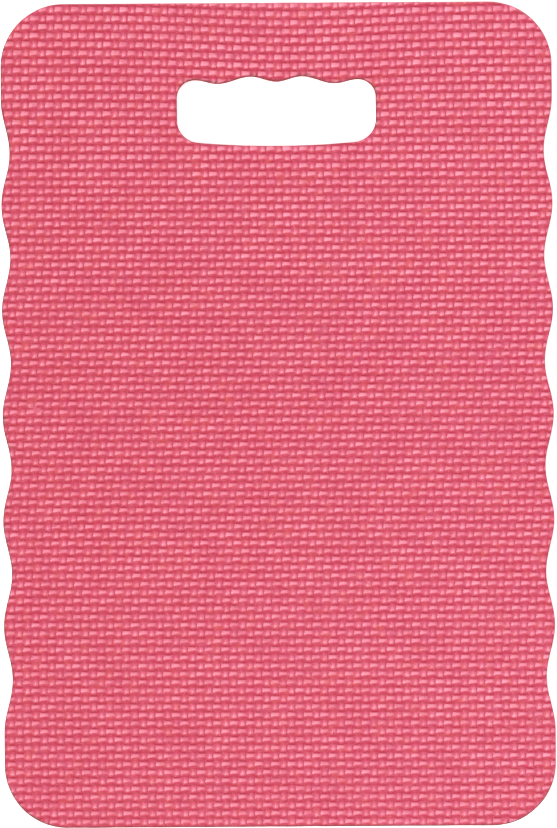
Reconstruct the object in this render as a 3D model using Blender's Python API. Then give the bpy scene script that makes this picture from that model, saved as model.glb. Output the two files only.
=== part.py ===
"""Kneeling pad: a foam slab pressed together from four plies, with a hand slot near one end.

The pad lies flat on z = 0, its length along Y, and the hand slot is near the +Y end.
The origin is at the middle of the underside. Sizes are in metres.
"""

from math import asin, cos, pi, sin, tau

import bpy

# The slab
PAD_LENGTH = 0.420
PAD_WIDTH = 0.281
PAD_THICKNESS = 0.020
CORNER_RADIUS = 0.0322

# The row of shallow finger hollows along each long side
HOLLOW_COUNT = 6
HOLLOW_PITCH = 0.0537
HOLLOW_DEPTH = 0.0043

# The hand slot. Its places along Y are measured from the pad's middle. Its lower edge is a bow that
# runs smoothly into the rounded lower corners.
SLOT_HALF_WIDTH = 0.0507
SLOT_LOW_MIDDLE_Y = 0.1371
SLOT_BOW_RADIUS = 0.450
SLOT_LOW_RADIUS = 0.0117
SLOT_HIGH_RADIUS = 0.0090
SLOT_HIGH_END_Y = 0.1709

# The slot's finger grips: (x, y) of each crest and hollow of its upper edge, middle outwards.
# The last one is where the corner begins.
FINGER_GRIPS = (
    (0.0, 0.1699),
    (0.0130, 0.1725),
    (0.0299, 0.1689),
    (SLOT_HALF_WIDTH - SLOT_HIGH_RADIUS, SLOT_HIGH_END_Y),
)

# The plies: thin embossed sheets outside, thicker plain sheets inside
FACE_PLY_THICKNESS = 0.0040
BOND_GAP = 0.0003
CORE_PLY_THICKNESS = (PAD_THICKNESS - 2 * FACE_PLY_THICKNESS - 3 * BOND_GAP) / 2

# How finely the outlines are stepped
STEPS_PER_HOLLOW = 20
STEPS_PER_CORNER = 14
STEPS_PER_SLOT_CORNER = 9
STEPS_PER_GRIP = 8
STEPS_PER_BOW = 6

# Each ply from the floor up: name, thickness, colour, roughness
PLIES = (
    ("bottom_sheet", FACE_PLY_THICKNESS, (0.62, 0.115, 0.175), 0.70),
    ("lower_core_sheet", CORE_PLY_THICKNESS, (0.68, 0.135, 0.200), 0.85),
    ("upper_core_sheet", CORE_PLY_THICKNESS, (0.66, 0.130, 0.192), 0.85),
    ("top_sheet", FACE_PLY_THICKNESS, (0.75, 0.135, 0.200), 0.65),
)


def clear_scene():
    for item in list(bpy.data.objects):
        bpy.data.objects.remove(item, do_unlink=True)


def foam(name, colour, roughness):
    material = bpy.data.materials.new(name)
    material.use_nodes = True
    shader = material.node_tree.nodes["Principled BSDF"]
    shader.inputs["Base Color"].default_value = (*colour, 1.0)
    shader.inputs["Roughness"].default_value = roughness
    shader.inputs["Metallic"].default_value = 0.0
    material.diffuse_color = (*colour, 1.0)
    return material


def arc(centre, radius, start, end, steps):
    """Points on a circle from angle start to angle end, both included, in radians."""
    points = []
    for step in range(steps + 1):
        angle = start + (end - start) * step / steps
        points.append((centre[0] + radius * cos(angle), centre[1] + radius * sin(angle)))
    return points


def swell(start, end, steps):
    """Points after start, up to end, on a half-cosine: level at both ends."""
    points = []
    for step in range(1, steps + 1):
        share = step / steps
        rise = (1 - cos(pi * share)) / 2
        x = start[0] + (end[0] - start[0]) * share
        y = start[1] + (end[1] - start[1]) * rise
        points.append((x, y))
    return points


def mirrored(points):
    """The same points on the other side of the Y axis, in the reverse order."""
    return [(-x, y) for x, y in reversed(points)]


def right_side():
    """The +X long side, from its lowest hollow to its highest."""
    steps = HOLLOW_COUNT * STEPS_PER_HOLLOW
    points = []
    for step in range(steps + 1):
        turns = step / STEPS_PER_HOLLOW
        y = (turns - HOLLOW_COUNT / 2) * HOLLOW_PITCH
        x = PAD_WIDTH / 2 - HOLLOW_DEPTH * (1 - cos(tau * turns)) / 2
        points.append((x, y))
    return points


def pad_outline():
    """The die-cut outer edge, anticlockwise."""
    corner_x = PAD_WIDTH / 2 - CORNER_RADIUS
    corner_y = PAD_LENGTH / 2 - CORNER_RADIUS
    low_corner = arc((corner_x, -corner_y), CORNER_RADIUS, -pi / 2, 0, STEPS_PER_CORNER)
    high_corner = arc((corner_x, corner_y), CORNER_RADIUS, 0, pi / 2, STEPS_PER_CORNER)
    right_half = low_corner + right_side() + high_corner
    return right_half + mirrored(right_half)


def slot_outline():
    """The hand slot: a bowed lower edge, and an upper edge waved to fit four fingers."""
    low_x = SLOT_HALF_WIDTH - SLOT_LOW_RADIUS
    high_x = SLOT_HALF_WIDTH - SLOT_HIGH_RADIUS
    bow_y = SLOT_LOW_MIDDLE_Y + SLOT_BOW_RADIUS
    bow_half_angle = asin(low_x / (SLOT_BOW_RADIUS - SLOT_LOW_RADIUS))
    bow_end = bow_half_angle - pi / 2
    low_centre = (low_x, bow_y - (SLOT_BOW_RADIUS - SLOT_LOW_RADIUS) * cos(bow_half_angle))
    high_centre = (high_x, SLOT_HIGH_END_Y - SLOT_HIGH_RADIUS)
    right_half = arc((0, bow_y), SLOT_BOW_RADIUS, -pi / 2, bow_end, STEPS_PER_BOW)[:-1]
    right_half += arc(low_centre, SLOT_LOW_RADIUS, bow_end, 0, STEPS_PER_SLOT_CORNER)
    right_half += arc(high_centre, SLOT_HIGH_RADIUS, 0, pi / 2, STEPS_PER_SLOT_CORNER)
    grips = FINGER_GRIPS[::-1]
    for outer, inner in zip(grips, grips[1:]):
        right_half += swell(outer, inner, STEPS_PER_GRIP)
    left_half = mirrored(right_half)
    return right_half + left_half[1:-1]


def add_loop(curve, points):
    spline = curve.splines.new("POLY")
    spline.points.add(len(points) - 1)
    for point, (x, y) in zip(spline.points, points):
        point.co = (x, y, 0, 1)
    spline.use_cyclic_u = True


def ply(name, thickness, colour, roughness):
    """One sheet: the outline less the slot, as thick as the ply."""
    curve = bpy.data.curves.new(name, "CURVE")
    curve.dimensions = "2D"
    curve.fill_mode = "BOTH"
    curve.extrude = thickness / 2
    add_loop(curve, pad_outline())
    add_loop(curve, slot_outline())
    curve.materials.append(foam(name, colour, roughness))
    return bpy.data.objects.new(name, curve)


def main():
    clear_scene()
    collection = bpy.data.collections.new("kneeling_pad")
    bpy.context.scene.collection.children.link(collection)
    base = bpy.data.objects.new("pad_origin", None)
    base.empty_display_size = 0.05
    collection.objects.link(base)
    height = 0.0
    for name, thickness, colour, roughness in PLIES:
        sheet = ply(name, thickness, colour, roughness)
        sheet.location.z = height + thickness / 2
        sheet.parent = base
        collection.objects.link(sheet)
        height += thickness + BOND_GAP


main()
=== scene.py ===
"""The looks of the kneeling pad: four plies of coral pink EVA foam.

A plain weave is pressed into both faces. Sizes are in metres.
"""

from math import asin, cos, pi, radians, sin, tau

import bmesh
import bpy
import numpy as np
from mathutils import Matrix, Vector, noise


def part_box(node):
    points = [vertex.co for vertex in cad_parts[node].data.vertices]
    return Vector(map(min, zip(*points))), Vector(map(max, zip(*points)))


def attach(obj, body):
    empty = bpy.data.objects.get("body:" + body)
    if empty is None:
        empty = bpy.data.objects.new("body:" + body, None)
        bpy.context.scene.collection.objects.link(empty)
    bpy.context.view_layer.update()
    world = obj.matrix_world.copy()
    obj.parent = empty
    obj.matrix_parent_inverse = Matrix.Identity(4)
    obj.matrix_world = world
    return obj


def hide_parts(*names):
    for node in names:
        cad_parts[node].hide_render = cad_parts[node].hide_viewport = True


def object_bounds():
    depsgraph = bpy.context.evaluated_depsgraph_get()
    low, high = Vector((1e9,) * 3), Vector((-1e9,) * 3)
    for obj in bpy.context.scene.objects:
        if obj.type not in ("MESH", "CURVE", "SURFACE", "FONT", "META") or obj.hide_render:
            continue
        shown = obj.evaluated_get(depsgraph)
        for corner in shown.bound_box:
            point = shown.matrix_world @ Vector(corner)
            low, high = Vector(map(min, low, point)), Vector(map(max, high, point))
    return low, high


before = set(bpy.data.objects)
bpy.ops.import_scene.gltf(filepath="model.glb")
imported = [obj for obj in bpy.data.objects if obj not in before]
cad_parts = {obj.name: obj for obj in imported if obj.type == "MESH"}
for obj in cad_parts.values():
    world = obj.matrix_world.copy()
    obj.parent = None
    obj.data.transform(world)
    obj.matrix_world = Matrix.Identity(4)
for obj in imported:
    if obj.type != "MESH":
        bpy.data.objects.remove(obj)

CAD_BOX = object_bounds()
LOW, HIGH = CAD_BOX

# ---------------------------------------------------------------- the outline, as the CAD cuts it

PAD_LENGTH = HIGH.y - LOW.y
PAD_WIDTH = HIGH.x - LOW.x
CORNER_RADIUS = 0.0322
HOLLOW_COUNT = 6
HOLLOW_PITCH = 0.0537
HOLLOW_DEPTH = 0.0043

SLOT_HALF_WIDTH = 0.0507
SLOT_LOW_MIDDLE_Y = 0.1371
SLOT_BOW_RADIUS = 0.450
SLOT_LOW_RADIUS = 0.0117
SLOT_HIGH_RADIUS = 0.0090
SLOT_HIGH_END_Y = 0.1709
SLOT_LOW_X = SLOT_HALF_WIDTH - SLOT_LOW_RADIUS
SLOT_BOW_Y = SLOT_LOW_MIDDLE_Y + SLOT_BOW_RADIUS
SLOT_BOW_HALF_ANGLE = asin(SLOT_LOW_X / (SLOT_BOW_RADIUS - SLOT_LOW_RADIUS))
SLOT_BOW_END_X = SLOT_BOW_RADIUS * sin(SLOT_BOW_HALF_ANGLE)
SLOT_LOW_Y = SLOT_BOW_Y - (SLOT_BOW_RADIUS - SLOT_LOW_RADIUS) * cos(SLOT_BOW_HALF_ANGLE)
SLOT_HIGH_X = SLOT_HALF_WIDTH - SLOT_HIGH_RADIUS
SLOT_HIGH_Y = SLOT_HIGH_END_Y - SLOT_HIGH_RADIUS
FINGER_GRIPS = ((0.0, 0.1699), (0.0130, 0.1725), (0.0299, 0.1689), (SLOT_HIGH_X, SLOT_HIGH_END_Y))

# How finely the outline is drawn, before a wall's points are spaced evenly along it
STEPS_PER_HOLLOW = 60
STEPS_PER_CORNER = 60
STEPS_PER_BOW = 40
STEPS_PER_SLOT_CORNER = 24
STEPS_PER_GRIP = 20


def half_cosine(share):
    return (1 - np.cos(pi * share)) / 2


def smooth_step(value, low, high):
    share = np.clip((value - low) / (high - low), 0, 1)
    return share * share * (3 - 2 * share)


def pad_depth(x, y):
    """How far inside the pad's outer edge a point is; negative outside."""
    across, along = np.abs(x), np.abs(y)
    wave = HOLLOW_DEPTH * (1 - np.cos(tau * y / HOLLOW_PITCH)) / 2
    wave = np.where(along < HOLLOW_COUNT / 2 * HOLLOW_PITCH, wave, 0)
    past_x = across - (PAD_WIDTH / 2 - CORNER_RADIUS)
    past_y = along - (PAD_LENGTH / 2 - CORNER_RADIUS)
    corner = CORNER_RADIUS - np.hypot(np.maximum(past_x, 0), np.maximum(past_y, 0))
    straight = CORNER_RADIUS - np.maximum(past_x, past_y)
    body = np.where((past_x > 0) & (past_y > 0), corner, straight)
    return np.minimum(body, PAD_WIDTH / 2 - wave - across)


def slot_depth(x, y):
    """How far inside the hand slot's opening a point is; negative in the foam."""
    across = np.abs(x)
    low_edge = SLOT_BOW_Y - np.sqrt(SLOT_BOW_RADIUS ** 2 - across ** 2)
    high_edge = np.full(np.shape(across), SLOT_HIGH_END_Y)
    for (x0, y0), (x1, y1) in zip(FINGER_GRIPS, FINGER_GRIPS[1:]):
        grip = y0 + (y1 - y0) * half_cosine((across - x0) / (x1 - x0))
        high_edge = np.where((across >= x0) & (across < x1), grip, high_edge)
    depth = np.minimum(np.minimum(high_edge - y, y - low_edge), SLOT_HALF_WIDTH - across)
    low_corner = SLOT_LOW_RADIUS - np.hypot(across - SLOT_LOW_X, y - SLOT_LOW_Y)
    high_corner = SLOT_HIGH_RADIUS - np.hypot(across - SLOT_HIGH_X, y - SLOT_HIGH_Y)
    depth = np.where((across > SLOT_BOW_END_X) & (y < SLOT_LOW_Y), low_corner, depth)
    return np.where((across > SLOT_HIGH_X) & (y > SLOT_HIGH_Y), high_corner, depth)


def foam_depth(x, y):
    """How far a point is inside the foam from the nearest cut edge; negative in the air."""
    return np.minimum(pad_depth(x, y), -slot_depth(x, y))


def outward(x, y):
    """The unit vector from a point near a cut edge straight out of the foam."""
    step, smallest = 1e-5, 1e-12
    across = foam_depth(x - step, y) - foam_depth(x + step, y)
    along = foam_depth(x, y - step) - foam_depth(x, y + step)
    length = np.maximum(np.hypot(across, along), smallest)
    return across / length, along / length


def arc(centre, radius, start, end, steps):
    """Points on a circle from angle start to angle end, in radians, both included."""
    angles = [start + (end - start) * step / steps for step in range(steps + 1)]
    return [(centre[0] + radius * cos(angle), centre[1] + radius * sin(angle)) for angle in angles]


def swell(start, end, steps):
    """Points after start, up to end, on a half-cosine: level at both ends."""
    points = []
    for step in range(1, steps + 1):
        share = step / steps
        x = start[0] + (end[0] - start[0]) * share
        y = start[1] + (end[1] - start[1]) * half_cosine(share)
        points.append((x, y))
    return points


def mirrored(points):
    """The same points on the other side of the Y axis, in the reverse order."""
    return [(-x, y) for x, y in reversed(points)]


def pad_outline():
    """The pad's outer edge, anticlockwise."""
    corner_x, corner_y = PAD_WIDTH / 2 - CORNER_RADIUS, PAD_LENGTH / 2 - CORNER_RADIUS
    side = []
    for step in range(HOLLOW_COUNT * STEPS_PER_HOLLOW + 1):
        turns = step / STEPS_PER_HOLLOW
        depth = HOLLOW_DEPTH * (1 - cos(tau * turns)) / 2
        side.append((PAD_WIDTH / 2 - depth, (turns - HOLLOW_COUNT / 2) * HOLLOW_PITCH))
    right = arc((corner_x, -corner_y), CORNER_RADIUS, -pi / 2, 0, STEPS_PER_CORNER) + side
    right += arc((corner_x, corner_y), CORNER_RADIUS, 0, pi / 2, STEPS_PER_CORNER)
    return right + mirrored(right)


def slot_outline():
    """The hand slot's edge, anticlockwise."""
    bow_end = SLOT_BOW_HALF_ANGLE - pi / 2
    low_centre, high_centre = (SLOT_LOW_X, SLOT_LOW_Y), (SLOT_HIGH_X, SLOT_HIGH_Y)
    right = arc((0, SLOT_BOW_Y), SLOT_BOW_RADIUS, -pi / 2, bow_end, STEPS_PER_BOW)[:-1]
    right += arc(low_centre, SLOT_LOW_RADIUS, bow_end, 0, STEPS_PER_SLOT_CORNER)
    right += arc(high_centre, SLOT_HIGH_RADIUS, 0, pi / 2, STEPS_PER_SLOT_CORNER)
    for start, end in zip(FINGER_GRIPS[::-1], FINGER_GRIPS[-2::-1]):
        right += swell(start, end, STEPS_PER_GRIP)
    return right + mirrored(right)[1:-1]


# ---------------------------------------------------------------- the weave pressed into the faces

THREAD_PITCH = 0.00420
GROOVE_DEPTH = 0.00080

# The weave's heights go from 0 at a groove's floor to 1 at a crown. This one lies level with the
# CAD's face.
FACE_LEVEL = 1.1

# One crossing's points: (x, y) in half pitches from its middle, and the height. Both crossings list
# them alike: the crown, its four corners, the east, west, north and south points, and the pit at the
# north-east. The embossing leans: a weft bar is highest along its north edge and slopes off gently to
# the south, and a warp bar is highest near its south end.
WEFT_OVER = (
    (-0.16, 0.00, 1.03),
    (-0.88, -0.34, 0.90), (0.58, -0.26, 0.80), (0.60, 0.30, 0.82), (-0.88, 0.34, 0.95),
    (0.98, -0.34, 0.62), (0.98, 0.34, 0.60), (-1.16, -0.32, 0.72), (-1.16, 0.34, 0.70),
    (-0.76, 0.70, 0.00), (0.60, 0.70, 0.00), (-0.76, -0.78, 0.04), (0.60, -0.78, 0.02),
    (1.00, 1.00, -0.05),
)
WARP_OVER = (
    (0.06, -0.24, 0.86),
    (-0.22, -0.58, 0.92), (0.36, -0.58, 0.90), (0.34, 0.36, 0.70), (-0.30, 0.36, 0.74),
    (0.62, -0.56, 0.34), (0.62, 0.36, 0.38), (-0.60, -0.58, 0.44), (-0.66, 0.36, 0.50),
    (-0.32, 0.84, 0.44), (0.30, 0.84, 0.42), (-0.20, -0.84, 0.50), (0.32, -0.84, 0.50),
    (1.00, 1.00, -0.05),
)
PER_CROSSING = len(WEFT_OVER)

# The points' numbers in these lists
CROWN, SW, SE, NE, NW = range(5)
EAST_S, EAST_N, WEST_S, WEST_N = range(5, 9)
NORTH_W, NORTH_E, SOUTH_W, SOUTH_E, PIT = range(9, PER_CROSSING)

# Columns and rows beyond the pad's width and length, so that the weave still covers it when drawn
SPARE_COLUMNS, SPARE_ROWS = 10, 6

# How the foam was drawn out of square when the sheets were pressed together. The weave lies off the
# middle, and its columns drift to the right between two places along the pad.
OFF_CENTRE = (0.0018, -0.0024)
DRIFT = 0.0120
DRIFT_FROM, DRIFT_TO = -0.139, 0.114

# How far out the columns at the sides are moved, halfway along the pad and at its ends, and how much
# less of this there is at the slot's end and more at the other
SPREAD_MIDDLE, SPREAD_ENDS = 0.0007, -0.0014
FAN = 0.0007

# How far in the rows at the ends are moved, and how far down they slope from the middle to the right
SHORTENED = 0.0012
TILT = 0.0005

# The share by which the rows are stretched past a place along the pad
STRETCH = 0.061
STRETCH_FROM = 0.127

# How far the rows sag towards the pad's middle around the slot, how wide the sag is to each side, and
# where along the pad it begins and is full
SAG = 0.0027
SAG_SPREAD = 0.042
SAG_FROM, SAG_TO = 0.125, 0.190

# How deeply the weave is pressed in the middle, how much more at the slot's end and less at the other,
# and how uneven its points are in place, in half pitches, and its threads in height
PRESS = 1.08
PRESS_CHANGE = 0.10
UNEVEN_PLACE = 0.028
UNEVEN_HEIGHT = 0.035
TOP_SEED, BOTTOM_SEED = 11, 23

# How much fuller the weft's raised threads are at the slot's end, from where on, and how much their
# relief is raised there, which makes the painted highlight on all raised threads stronger
FULLER = 0.50
FULLER_FROM = 0.03
HIGHLIGHT_RELIEF_CHANGE = 0.08

# A scuff near the left edge, where a few threads are crushed and rubbed pale: its ends, half its width,
# and the crushed threads' height and how uneven that is
SCUFF_START, SCUFF_END = (-0.1268, 0.0056), (-0.1175, 0.0010)
SCUFF_RADIUS = 0.0013
CRUSHED_HEIGHT = 0.60
CRUSHED_UNEVEN = 0.20

# How the cut rim is darkened: a darkening that is strongest on edges that face south and west, which is
# painted shade, and that turns into a painted highlight on edges that face north
RIM_DARKENING, PAINTED_SHADE_SOUTH, PAINTED_SHADE_WEST = 0.45, 0.60, 0.30


def drawn(x, y):
    """Where the stretched foam takes a point of the even weave."""
    across, along = x / (PAD_WIDTH / 2), y / (PAD_LENGTH / 2)
    drift = DRIFT * (smooth_step(y, DRIFT_FROM, DRIFT_TO) - 0.5)
    spread = SPREAD_MIDDLE + (SPREAD_ENDS - SPREAD_MIDDLE) * along ** 2 - FAN * along
    stretch = STRETCH * np.maximum(y - STRETCH_FROM, 0) - SHORTENED * along
    sag = SAG * np.exp(-(x / SAG_SPREAD) ** 2 / 2) * smooth_step(y, SAG_FROM, SAG_TO)
    drawn_x = x + OFF_CENTRE[0] + drift + spread * across
    drawn_y = y + OFF_CENTRE[1] + stretch - sag - TILT * across
    return drawn_x, drawn_y


def rim_darkening_and_shade(out_x, out_y):
    """How dark a cut edge's rim is, as painted shade, where the way out of the foam is (out_x, out_y).
    Below 0 it is a painted highlight.
    """
    return RIM_DARKENING - PAINTED_SHADE_SOUTH * out_y - PAINTED_SHADE_WEST * out_x


def scuffed(x, y):
    """How scuffed the upper face is at a point, from 0 to 1."""
    along_x, along_y = SCUFF_END[0] - SCUFF_START[0], SCUFF_END[1] - SCUFF_START[1]
    from_x, from_y = x - SCUFF_START[0], y - SCUFF_START[1]
    share = np.clip((from_x * along_x + from_y * along_y) / (along_x ** 2 + along_y ** 2), 0, 1)
    away = np.hypot(from_x - share * along_x, from_y - share * along_y)
    return 1 - smooth_step(away, SCUFF_RADIUS / 2, SCUFF_RADIUS)


def weave_points(columns, rows, seed):
    """The drawn weave's points (x, y, height), crossing by crossing."""
    column, row = np.meshgrid(np.arange(columns), np.arange(rows))
    column, row = column.ravel(), row.ravel()
    weft_over = (column + row) % 2 == 0
    middle_x = column - (columns - 1) / 2
    middle_y = (row - (rows - 1) / 2) * THREAD_PITCH
    fuller = np.where(weft_over, FULLER * smooth_step(middle_y, FULLER_FROM, PAD_LENGTH / 2), 0)
    chance = np.random.default_rng(seed)
    tall = 1 + chance.normal(0, UNEVEN_HEIGHT, column.size)
    blocks = []
    for weft, warp in zip(WEFT_OVER, WARP_OVER):
        across, along, height = (np.where(weft_over, *pair) for pair in zip(weft, warp))
        along = along * (1 + fuller * (1 - np.abs(along)))
        across = across + chance.normal(0, UNEVEN_PLACE, column.size)
        along = along + chance.normal(0, UNEVEN_PLACE, column.size)
        x, y = drawn((middle_x + across / 2) * THREAD_PITCH, middle_y + along / 2 * THREAD_PITCH)
        press = PRESS + PRESS_CHANGE * y / (PAD_LENGTH / 2)
        blocks.append(np.stack([x, y, 1 - (1 - height * tall) * press], axis=-1))
    return np.stack(blocks, axis=1).reshape(-1, 3)


def weave_faces(columns, rows):
    """The faces between the weave's points, anticlockwise from above."""
    own = [(SW, SE, CROWN), (SE, NE, CROWN), (NE, NW, CROWN), (NW, SW, CROWN)]
    own += [(SE, EAST_S, EAST_N, NE), (WEST_S, SW, NW, WEST_N)]
    own += [(NW, NE, NORTH_E, NORTH_W), (SOUTH_W, SOUTH_E, SE, SW)]
    faces = []
    for row in range(1, rows - 1):
        for column in range(1, columns - 1):
            here = (row * columns + column) * PER_CROSSING
            east = here + PER_CROSSING
            north = here + columns * PER_CROSSING
            pit_ne = here + PIT
            pit_nw = pit_ne - PER_CROSSING
            pit_se = pit_ne - columns * PER_CROSSING
            pit_sw = pit_se - PER_CROSSING
            faces += [tuple(here + point for point in face) for face in own]
            faces.append((here + NE, here + EAST_N, pit_ne, here + NORTH_E))
            faces.append((here + NW, here + NORTH_W, pit_nw, here + WEST_N))
            faces.append((here + SW, here + WEST_S, pit_sw, here + SOUTH_W))
            faces.append((here + SE, here + SOUTH_E, pit_se, here + EAST_S))
            faces.append((here + EAST_S, east + WEST_S, east + WEST_N, here + EAST_N))
            faces.append((here + EAST_N, east + WEST_N, pit_ne))
            faces.append((pit_se, east + WEST_S, here + EAST_S))
            faces.append((here + NORTH_W, here + NORTH_E, north + SOUTH_E, north + SOUTH_W))
            faces.append((here + NORTH_E, pit_ne, north + SOUTH_E))
            faces.append((pit_nw, here + NORTH_W, north + SOUTH_W))
    return faces


# ---------------------------------------------------------------- meshes

# A weave point this near to the cut line is moved onto it
SNAP = 0.00022

# The spacing of the points along a core ply's wall
WALL_STEP = 0.0012

# The rounding of a cut edge: how far it reaches in and down, and how far out and down one more point
# on it lies. The rim's colour fades over RIM_WIDTH of the face and RIM_DOWN of the wall.
EDGE_ROUND = 0.00030
ROUND_OUT, ROUND_DOWN = EDGE_ROUND * 0.7, EDGE_ROUND * 0.3
RIM_WIDTH = 0.0005
RIM_DOWN = EDGE_ROUND * 3

# The groove where two plies are bonded: how far in it is pressed, and how far up and down it opens
BOND_IN = 0.00022
BOND_REACH = BOND_IN * 1.5

# A core ply's wall bulges by BULGE in its middle, and by SHOULDER at these two places above and below
BULGE, SHOULDER = 0.00005, 0.00004
SHOULDER_QUARTERS = 0.8

# A wall's relief, from 1 for bare cut foam to 0 for the bottom of a bond's groove
RELIEF_ROUND, RELIEF_EDGE, RELIEF_WALL, RELIEF_BY_BOND, RELIEF_BOND = 0.6, 0.7, 0.9, 0.8, 0.0

# How a die-cut wall strays from true: how far, and its noise's scale along the wall and up it
WAVERS = ((0.00009, 90, 60), (0.00005, 420, 300))

# The numbers of a ply's two materials
FACE, WALL = 0, 1


def trimmed(points, faces, inset):
    """Cuts the weave off where the foam's depth is inset. Returns what is left of points and faces."""
    points = points.copy()
    depth = foam_depth(points[:, 0], points[:, 1]) - inset
    near = np.abs(depth) < SNAP
    out_x, out_y = outward(points[near, 0], points[near, 1])
    points[near, 0] += out_x * depth[near]
    points[near, 1] += out_y * depth[near]
    depth[near] = 0
    added = []
    crossings = {}

    def crossing(start, end):
        """The number of the point where the edge from start to end meets the cut line."""
        key = (min(start, end), max(start, end))
        if key not in crossings:
            share = depth[start] / (depth[start] - depth[end])
            crossings[key] = len(points) + len(added)
            added.append(points[start] + (points[end] - points[start]) * share)
        return crossings[key]

    kept = []
    for face in faces:
        depths = [depth[corner] for corner in face]
        if max(depths) <= 0:
            continue
        if min(depths) >= 0:
            kept.append(face)
            continue
        piece = []
        for start, end in zip(face, face[1:] + face[:1]):
            if depth[start] >= 0:
                piece.append(start)
            if depth[start] * depth[end] < 0:
                piece.append(crossing(start, end))
        if len(piece) > 2:
            kept.append(tuple(piece))
    points = np.vstack([points, np.array(added)])
    used = np.unique(np.concatenate([np.array(face) for face in kept]))
    renumbered = np.full(len(points), -1)
    renumbered[used] = np.arange(len(used))
    return points[used], [tuple(int(renumbered[corner]) for corner in face) for face in kept]


def open_edges(faces):
    """The directed edges that have a face on their left side only."""
    edges = set()
    for face in faces:
        edges.update(zip(face, face[1:] + face[:1]))
    return sorted(edge for edge in edges if edge[::-1] not in edges)


def resampled(loop, step):
    """A closed loop's points, evenly spaced along it."""
    corners = np.array(loop + loop[:1])
    along = np.concatenate([[0], np.cumsum(np.hypot(*np.diff(corners, axis=0).T))])
    count = int(along[-1] / step)
    marks = np.arange(count) / count * along[-1]
    return np.stack([np.interp(marks, along, corners[:, axis]) for axis in (0, 1)], axis=-1)


def waver(x, y, z):
    """How far a die-cut wall strays from true."""
    return sum(far * noise.noise(Vector((x * wide, y * wide, z * high))) for far, wide, high in WAVERS)


def lies_at(edge, height):
    """Whether both ends of an edge are at a height."""
    return all(abs(end.co.z - height) < 1e-6 for end in edge.verts)


class Shell:
    """A mesh under construction.

    Its points have a relief, a rim and a scuff, and its faces the number of a material.
    """

    def __init__(self):
        self.points, self.faces, self.kinds = [], [], []
        self.values = {"relief": [], "rim": [], "scuff": []}

    def add(self, points, relief, rim, scuff=0.0):
        """Adds points and returns their numbers."""
        first = len(self.points)
        self.points += [tuple(map(float, point)) for point in points]
        for label, value in (("relief", relief), ("rim", rim), ("scuff", scuff)):
            self.values[label] += list(np.broadcast_to(value, len(points)).astype(float))
        return range(first, len(self.points))

    def add_faces(self, faces, kind):
        self.faces += faces
        self.kinds += [kind] * len(faces)

    def mesh(self, name, open_heights):
        """The mesh, with a flat cap over the open edges at each of open_heights."""
        made = bpy.data.meshes.new(name)
        made.from_pydata(self.points, [], self.faces)
        made.polygons.foreach_set("material_index", self.kinds)
        made.polygons.foreach_set("use_smooth", [True] * len(self.faces))
        for label, values in self.values.items():
            made.attributes.new(label, "FLOAT", "POINT").data.foreach_set("value", values)
        shape = bmesh.new()
        shape.from_mesh(made)
        for height in open_heights:
            edges = [edge for edge in shape.edges if edge.is_boundary and lies_at(edge, height)]
            filled = bmesh.ops.triangle_fill(shape, use_beauty=True, edges=edges, normal=(0, 0, 1))
            for part in filled["geom"]:
                if isinstance(part, bmesh.types.BMFace):
                    part.material_index = WALL
                    part.smooth = False
        bmesh.ops.recalc_face_normals(shape, faces=shape.faces)
        shape.to_mesh(made)
        shape.free()
        return made


def add_wall(shell, ring, edges, spots, levels):
    """Hangs a wall from a ring of points.

    spots holds each point's place on the cut line and the direction out of the foam there.
    Each level is how far out it lies, its heights, its relief and its rim.
    """
    for out, heights, relief, rim in levels:
        points = []
        for (x, y, out_x, out_y), z in zip(spots, np.broadcast_to(heights, len(spots))):
            reach = out + waver(x, y, z)
            points.append((x + out_x * reach, y + out_y * reach, z))
        below = shell.add(points, relief, rim)
        faces = [(ring[end], ring[start], below[start], below[end]) for start, end in edges]
        shell.add_faces(faces, WALL)
        ring = below


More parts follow.
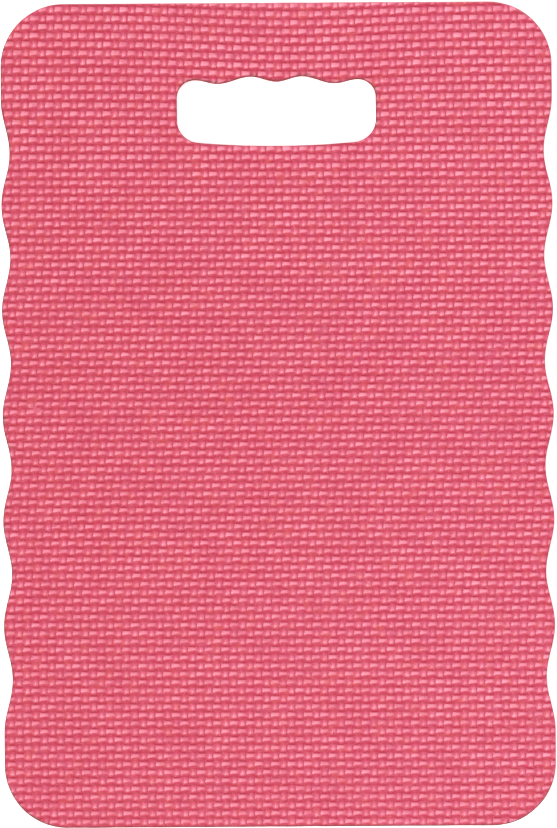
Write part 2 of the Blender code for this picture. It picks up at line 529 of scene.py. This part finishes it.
def woven_sheet(name, face_height, inner_height, seed):
    """A face ply: the weave in its outer face, cut to the pad's outline, with its die-cut wall."""
    side = 1 if face_height > inner_height else -1
    columns = int(PAD_WIDTH / THREAD_PITCH) + SPARE_COLUMNS
    rows = int(PAD_LENGTH / THREAD_PITCH) + SPARE_ROWS
    points = weave_points(columns, rows, seed)
    scuff = scuffed(points[:, 0], points[:, 1]) if side > 0 else np.zeros(len(points))
    crushed = CRUSHED_HEIGHT + np.random.default_rng(seed).normal(0, CRUSHED_UNEVEN, len(points))
    points[:, 2] += (crushed - points[:, 2]) * scuff
    points, faces = trimmed(points, weave_faces(columns, rows), EDGE_ROUND)
    x, y, level = points.T
    # The cut rim's painted shade, strongest where it faces south and west, and its painted highlight
    # where it faces north
    rim = 1 - smooth_step(foam_depth(x, y), EDGE_ROUND, RIM_WIDTH + EDGE_ROUND)
    rim[rim > 0] *= rim_darkening_and_shade(*outward(x[rim > 0], y[rim > 0]))
    height = face_height - side * GROOVE_DEPTH * (FACE_LEVEL - level)
    # The relief rises towards the slot's end, which strengthens the painted highlight on the raised
    # threads there
    relief = level * (1 + HIGHLIGHT_RELIEF_CHANGE * smooth_step(y, 0.0, PAD_LENGTH / 2))
    shell = Shell()
    shell.add(np.stack([x, y, height], axis=-1), relief, rim, scuffed(x, y) if side > 0 else 0.0)
    shell.add_faces(faces, FACE)
    cut = open_edges(faces)
    ring = sorted({point for edge in cut for point in edge})
    place = {point: number for number, point in enumerate(ring)}
    edges = [(place[start], place[end]) for start, end in cut]
    out_x, out_y = outward(x[ring], y[ring])
    spots = np.stack([x[ring], y[ring], out_x, out_y], axis=-1)
    # The same painted shade and painted highlight on the wall's rounded rim
    rim_dark_and_shade = rim_darkening_and_shade(out_x, out_y)
    edge_height = height[ring]
    levels = [
        (ROUND_OUT, edge_height - side * ROUND_DOWN, RELIEF_ROUND, rim_dark_and_shade),
        (EDGE_ROUND, edge_height - side * EDGE_ROUND, RELIEF_EDGE, rim_dark_and_shade),
        (EDGE_ROUND, edge_height - side * RIM_DOWN, RELIEF_WALL, 0.0),
        (EDGE_ROUND, inner_height + side * BOND_REACH, RELIEF_BY_BOND, 0.0),
        (EDGE_ROUND - BOND_IN, inner_height, RELIEF_BOND, 0.0),
    ]
    add_wall(shell, ring, edges, spots, levels)
    return shell.mesh(name, [inner_height])


def plain_sheet(name, high, low):
    """A core ply: only its die-cut wall is seen, slightly full between the bond lines."""
    shell = Shell()
    middle = (high + low) / 2
    shoulder = (high - low) / 4 * SHOULDER_QUARTERS
    levels = [
        (0.0, high - BOND_REACH, RELIEF_BY_BOND, 0.0),
        (SHOULDER, middle + shoulder, RELIEF_WALL, 0.0),
        (BULGE, middle, 1.0, 0.0),
        (SHOULDER, middle - shoulder, RELIEF_WALL, 0.0),
        (0.0, low + BOND_REACH, RELIEF_BY_BOND, 0.0),
        (-BOND_IN, low, RELIEF_BOND, 0.0),
    ]
    for loop, turn in ((pad_outline(), 1), (slot_outline(), -1)):
        x, y = resampled(loop, WALL_STEP)[::turn].T
        out_x, out_y = outward(x, y)
        spots = np.stack([x, y, out_x, out_y], axis=-1)
        top = np.stack([x - out_x * BOND_IN, y - out_y * BOND_IN, np.full(len(x), high)], axis=-1)
        ring = shell.add(top, RELIEF_BOND, 0.0)
        edges = [(start, (start + 1) % len(x)) for start in range(len(x))]
        add_wall(shell, ring, edges, spots, levels)
    return shell.mesh(name, [high, low])


# ---------------------------------------------------------------- the foam's materials

class Nodes:
    """Short names for building a material's node tree."""

    def __init__(self, name):
        self.material = bpy.data.materials.new(name)
        self.material.use_nodes = True
        self.tree = self.material.node_tree
        self.shader = self.tree.nodes["Principled BSDF"]

    def node(self, kind, **settings):
        made = self.tree.nodes.new(kind)
        for key, setting in settings.items():
            setattr(made, key, setting)
        return made

    def link(self, source, target):
        self.tree.links.new(source, target)

    def attribute(self, name):
        return self.node("ShaderNodeAttribute", attribute_name=name).outputs["Fac"]

    def place(self):
        return self.node("ShaderNodeTexCoord").outputs["Object"]

    def across(self):
        made = self.node("ShaderNodeSeparateXYZ")
        self.link(self.place(), made.inputs["Vector"])
        return made.outputs["X"]

    def distance(self, spot):
        """How far the surface is from a spot on it."""
        made = self.node("ShaderNodeVectorMath", operation="DISTANCE")
        made.inputs[1].default_value = spot
        self.link(self.place(), made.inputs[0])
        return made.outputs["Value"]

    def noise(self, scale, detail):
        made = self.node("ShaderNodeTexNoise")
        made.inputs["Scale"].default_value = scale
        made.inputs["Detail"].default_value = detail
        made.inputs["Roughness"].default_value = NOISE_ROUGHNESS
        self.link(self.place(), made.inputs["Vector"])
        return made.outputs["Fac"]

    def cells(self, scale):
        made = self.node("ShaderNodeTexVoronoi")
        made.inputs["Scale"].default_value = scale
        self.link(self.place(), made.inputs["Vector"])
        return made.outputs["Distance"]

    def spread(self, source, low, high, to_low=0.0, to_high=1.0):
        """Takes low to to_low and high to to_high, smoothly, and stays level outside them."""
        made = self.node("ShaderNodeMapRange", interpolation_type="SMOOTHSTEP")
        made.inputs["From Min"].default_value = low
        made.inputs["From Max"].default_value = high
        made.inputs["To Min"].default_value = to_low
        made.inputs["To Max"].default_value = to_high
        self.link(source, made.inputs["Value"])
        return made.outputs["Result"]

    def math(self, operation, first, second):
        made = self.node("ShaderNodeMath", operation=operation)
        self.link(first, made.inputs[0])
        self.link(second, made.inputs[1])
        return made.outputs[0]

    def mix(self, share, first, second, blend="MIX"):
        """Blends two colours, each an output or a tuple. The share is an output or a number."""
        made = self.node("ShaderNodeMix", data_type="RGBA", blend_type=blend)
        for label, source in (("Factor", share), ("A", first), ("B", second)):
            sockets = [socket for socket in made.inputs if socket.name == label and socket.enabled]
            if isinstance(source, float):
                sockets[0].default_value = source
            elif isinstance(source, tuple):
                sockets[0].default_value = (*source, 1.0)
            else:
                self.link(source, sockets[0])
        return [socket for socket in made.outputs if socket.enabled][0]

    def patchy(self, scale, detail, low, high, to_low, to_high):
        """Noise of a scale and detail that is spread from low and high to to_low and to_high."""
        return self.spread(self.noise(scale, detail), low, high, to_low, to_high)

    def rimmed(self, base):
        """The base colour, with painted shade darkening the cut's rim, or a painted highlight paling
        it.
        """
        base = self.mix(self.spread(self.attribute("rim"), 0.0, 1.0), base, RIM_COLOUR)
        return self.mix(self.spread(self.attribute("rim"), 0.0, RIM_FULL_HIGHLIGHT), base, RIM_HIGHLIGHT)

    def bump(self, height, distance, strength, under=None):
        made = self.node("ShaderNodeBump")
        made.inputs["Distance"].default_value = distance
        made.inputs["Strength"].default_value = strength
        self.link(height, made.inputs["Height"])
        if under is not None:
            self.link(under, made.inputs["Normal"])
        return made.outputs["Normal"]


# Painted shade: the deep and groove colours darken the weave's grooves. Painted highlight: the crown
# colour whitens its crowns. The groove and crown colours also make the random grain.
DEEP_SHADE_COLOUR = (0.46, 0.009, 0.045)
GROOVE_SHADE_AND_GRAIN_COLOUR = (0.52, 0.017, 0.056)
FLANK_COLOUR = (0.72, 0.094, 0.178)
CROWN_HIGHLIGHT_AND_GRAIN_COLOUR = (0.95, 0.310, 0.415)
CORAL_TINT = (0.66, 0.085, 0.085)
ROSE_TINT = (0.60, 0.065, 0.145)
DEEP_TINT, PALE_TINT = (0.975, 0.930, 0.940), (1.025, 1.070, 1.060)
# Painted light: the face is a little darker towards the left and lighter towards the right
LEFT_SHADE_TINT, RIGHT_LIGHT_TINT = (0.98, 0.95, 0.95), (1.02, 1.10, 1.09)
SCUFF_COLOUR = (0.84, 0.230, 0.300)
SPECK_COLOUR = (0.42, 0.010, 0.045)
# The rim colour darkens the cut rim, as painted shade that is strongest on edges that face south and
# west; the pale rim colour is a painted highlight on edges that face north
RIM_COLOUR = (0.26, 0.042, 0.046)
RIM_HIGHLIGHT = (0.85, 0.290, 0.360)
CUT_COLOUR = (0.56, 0.070, 0.105)
CUT_PALE = (0.68, 0.125, 0.170)
BOND_COLOUR = (0.36, 0.040, 0.062)

# The rim at which an edge's painted highlight is full
RIM_FULL_HIGHLIGHT = -0.5

# Between which reliefs one colour gives way to the next, up the side of a thread: painted shade in the
# grooves, the foam's own colour on the flanks and a painted highlight on the crowns
DEEP_TO_GROOVE = (-0.25, 0.05)
GROOVE_TO_FLANK = (0.10, 0.80)
FLANK_TO_CROWN = (0.6, 1.0)

# Patches: the noise's scale and detail, the noise at which a patch begins and is full, and how strong
# the patch is there. The clouds lie under the patchy tint, and the grain over it.
NOISE_ROUGHNESS = 0.55
CLOUDS = (
    (CORAL_TINT, (190, 3.0, 0.50, 0.75, 0.0, 0.60)),
    (ROSE_TINT, (150, 3.0, 0.50, 0.75, 0.0, 0.62)),
    (CORAL_TINT, (42, 2.0, 0.35, 0.70, 0.0, 0.10)),
    (ROSE_TINT, (30, 2.0, 0.35, 0.70, 0.0, 0.10)),
)
GRAIN = (
    (GROOVE_SHADE_AND_GRAIN_COLOUR, (850, 3.0, 0.42, 0.70, 0.0, 0.22)),
    (CROWN_HIGHLIGHT_AND_GRAIN_COLOUR, (1100, 2.0, 0.50, 0.75, 0.0, 0.25)),
)
# These patches make the painted highlight on the crowns uneven
HIGHLIGHT_PATCHES = (45, 3.0, 0.25, 0.65, 0.55, 1.0)
TINT_PATCHES = (95, 2.0, 0.30, 0.70, 0.0, 1.0)
WORN_PATCHES = (1300, 2.0, 0.42, 0.58, 0.0, 0.5)
ROUGH_PATCHES = (700, 2.0, 0.3, 0.7, -0.05, 0.05)
CUT_PATCHES = (220, 2.0, 0.45, 0.75, 0.0, 0.40)

# How rough the face is in its grooves and on its crowns, and a cut wall in its pores and between them
FACE_ROUGHNESS = (0.56, 0.40)
CUT_ROUGHNESS = (0.72, 0.9)

# Bumps: the height in metres and the strength
SKIN_BUMPS = (0.00005, 0.5)
DENT_BUMPS = (0.00012, 0.45)
PORE_BUMPS = (0.00012, 0.6)
CUT_BUMPS = (0.00015, 0.5)
PORE_SCALE = 3000

# The relief where a bond's dark line begins on a wall and where it is full, and how strong it is there
BOND_LINE = (0.75, 0.05, 0.0, 0.85)

# Specks of darker foam in the upper face's grooves, half their size, and how strong they are
SPECKS = ((0.0510, 0.0196), (0.0273, -0.1624), (0.1135, -0.1884))
SPECK_HEIGHT = HIGH.z - 0.75 * GROOVE_DEPTH
SPECK_RADIUS = 0.00055
SPECK_STRENGTH = 0.85


def face_foam(name):
    """Skinned, embossed foam, with painted shade that makes the grooves deeper and more saturated, and
    a painted highlight that makes the crowns pale.
    """
    foam = Nodes(name)
    relief = foam.attribute("relief")
    # Painted shade in the grooves and a painted highlight on the crowns, both set by the relief
    groove = foam.mix(foam.spread(relief, *DEEP_TO_GROOVE), DEEP_SHADE_COLOUR, GROOVE_SHADE_AND_GRAIN_COLOUR)
    base = foam.mix(foam.spread(relief, *GROOVE_TO_FLANK), groove, FLANK_COLOUR)
    crown_highlight = foam.spread(relief, *FLANK_TO_CROWN)
    crown_highlight = foam.math("MULTIPLY", crown_highlight, foam.patchy(*HIGHLIGHT_PATCHES))
    base = foam.mix(crown_highlight, base, CROWN_HIGHLIGHT_AND_GRAIN_COLOUR)
    for colour, patches in CLOUDS:
        base = foam.mix(foam.patchy(*patches), base, colour)
    tint = foam.mix(foam.patchy(*TINT_PATCHES), DEEP_TINT, PALE_TINT)
    base = foam.mix(1.0, base, tint, "MULTIPLY")
    for colour, patches in GRAIN:
        base = foam.mix(foam.patchy(*patches), base, colour)
    # Painted light: darker towards the left and lighter towards the right
    tint = foam.mix(foam.spread(foam.across(), LOW.x, HIGH.x), LEFT_SHADE_TINT, RIGHT_LIGHT_TINT)
    base = foam.mix(1.0, base, tint, "MULTIPLY")
    worn = foam.math("MULTIPLY", foam.attribute("scuff"), foam.patchy(*WORN_PATCHES))
    base = foam.mix(worn, base, SCUFF_COLOUR)
    for x, y in SPECKS:
        away = foam.distance((x, y, SPECK_HEIGHT))
        speck = foam.spread(away, SPECK_RADIUS * 1.5, SPECK_RADIUS, 0.0, SPECK_STRENGTH)
        base = foam.mix(speck, base, SPECK_COLOUR)
    foam.link(foam.rimmed(base), foam.shader.inputs["Base Color"])
    roughness = foam.spread(relief, 0.0, 1.0, *FACE_ROUGHNESS)
    roughness = foam.math("ADD", roughness, foam.patchy(*ROUGH_PATCHES))
    foam.link(roughness, foam.shader.inputs["Roughness"])
    skin = foam.bump(foam.noise(2600, 2.0), *SKIN_BUMPS)
    dented = foam.bump(foam.noise(620, 3.0), *DENT_BUMPS, skin)
    foam.link(dented, foam.shader.inputs["Normal"])
    foam.shader.inputs["Specular IOR Level"].default_value = 0.5
    return foam.material


def cut_foam(name):
    """Die-cut foam: matt, with opened pores, and darker where the bond lines are pressed in."""
    foam = Nodes(name)
    pores = foam.cells(PORE_SCALE)
    base = foam.mix(foam.spread(pores, 0.25, 0.75), CUT_COLOUR, CUT_PALE)
    base = foam.mix(foam.patchy(*CUT_PATCHES), base, CORAL_TINT)
    base = foam.mix(foam.spread(foam.attribute("relief"), *BOND_LINE), base, BOND_COLOUR)
    foam.link(foam.rimmed(base), foam.shader.inputs["Base Color"])
    foam.link(foam.spread(pores, 0.2, 0.8, *CUT_ROUGHNESS), foam.shader.inputs["Roughness"])
    open_pores = foam.bump(pores, *PORE_BUMPS)
    rough = foam.bump(foam.noise(900, 3.0), *CUT_BUMPS, open_pores)
    foam.link(rough, foam.shader.inputs["Normal"])
    foam.shader.inputs["Specular IOR Level"].default_value = 0.35
    return foam.material


# ---------------------------------------------------------------- the pieces

def add_piece(name, mesh, node, materials):
    """Puts a ply in the scene in place of its CAD solid."""
    piece = bpy.data.objects.new(name, mesh)
    bpy.context.scene.collection.objects.link(piece)
    for material in materials:
        piece.data.materials.append(material)
    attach(piece, "root")
    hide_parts(node)


def make_pad():
    """Makes the four plies, which meet in the middle of the CAD's gaps."""
    materials = (face_foam("embossed_foam"), cut_foam("cut_foam"))
    bottom_low, bottom_high = (corner.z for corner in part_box("bottom_sheet"))
    lower_low, lower_high = (corner.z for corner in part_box("lower_core_sheet"))
    upper_low, upper_high = (corner.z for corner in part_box("upper_core_sheet"))
    top_low, top_high = (corner.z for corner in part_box("top_sheet"))
    first_bond = (bottom_high + lower_low) / 2
    middle_bond = (lower_high + upper_low) / 2
    last_bond = (upper_high + top_low) / 2
    top = woven_sheet("top_ply", top_high, last_bond, TOP_SEED)
    add_piece("top_ply", top, "top_sheet", materials)
    upper = plain_sheet("upper_core_ply", last_bond, middle_bond)
    add_piece("upper_core_ply", upper, "upper_core_sheet", materials)
    lower = plain_sheet("lower_core_ply", middle_bond, first_bond)
    add_piece("lower_core_ply", lower, "lower_core_sheet", materials)
    bottom = woven_sheet("bottom_ply", bottom_low, first_bond, BOTTOM_SEED)
    add_piece("bottom_ply", bottom, "bottom_sheet", materials)


# ---------------------------------------------------------------- camera, light and floor

# The camera: how high it is above the pad, the length of the pad's plane that fills the picture, the
# place it looks at, and its turn in degrees
VIEW_HEIGHT = 12.0
VIEW_LENGTH = 0.4220
VIEW_CENTRE = (0.0002, 0.0004)
VIEW_TURN = -0.35
SENSOR = 36.0

# The light: where the sun stands, its strength and its softness in degrees, the evenly bright room
# around the pad, and the white floor
SUN_TOWARDS = (-0.55, -0.40, 1.0)
SUN_STRENGTH = 2.5
SUN_SOFTNESS = 20
ROOM_STRENGTH = 0.50
FLOOR_SIZE = 30
FLOOR_GLOW = 0.80
WHITE = (1.0, 1.0, 1.0, 1.0)


def add_camera():
    """A long lens straight above the pad, so that its outline shows nearly without perspective."""
    data = bpy.data.cameras.new("camera")
    data.sensor_width = SENSOR
    data.lens = SENSOR * VIEW_HEIGHT / VIEW_LENGTH
    data.clip_end = 100
    camera = bpy.data.objects.new("camera", data)
    camera.location = (*VIEW_CENTRE, HIGH.z + VIEW_HEIGHT)
    camera.rotation_euler = (0, 0, radians(VIEW_TURN))
    bpy.context.scene.collection.objects.link(camera)
    bpy.context.scene.camera = camera


def add_sun():
    """A soft light, equally bright over the whole pad."""
    data = bpy.data.lights.new("key", "SUN")
    data.energy = SUN_STRENGTH
    data.angle = radians(SUN_SOFTNESS)
    sun = bpy.data.objects.new("key", data)
    sun.rotation_mode = "QUATERNION"
    sun.rotation_quaternion = Vector(SUN_TOWARDS).to_track_quat("Z", "Y")
    bpy.context.scene.collection.objects.link(sun)


def add_world():
    world = bpy.data.worlds.new("studio")
    world.use_nodes = True
    background = world.node_tree.nodes["Background"]
    background.inputs["Color"].default_value = WHITE
    background.inputs["Strength"].default_value = ROOM_STRENGTH
    bpy.context.scene.world = world


def add_floor():
    """A white table that glows a little, so that the pad's shadow stays pale."""
    bpy.ops.mesh.primitive_plane_add(size=FLOOR_SIZE)
    floor = bpy.context.object
    floor.name = "floor"
    table = Nodes("white_table")
    table.shader.inputs["Base Color"].default_value = (0.9, 0.9, 0.9, 1.0)
    table.shader.inputs["Roughness"].default_value = 0.6
    table.shader.inputs["Emission Color"].default_value = WHITE
    table.shader.inputs["Emission Strength"].default_value = FLOOR_GLOW
    floor.data.materials.append(table.material)


add_camera()
add_floor()
add_world()
add_sun()
bpy.context.scene.view_settings.view_transform = "Standard"
make_pad()


def corners(box):
    return [[round(value, 6) for value in corner] for corner in box]
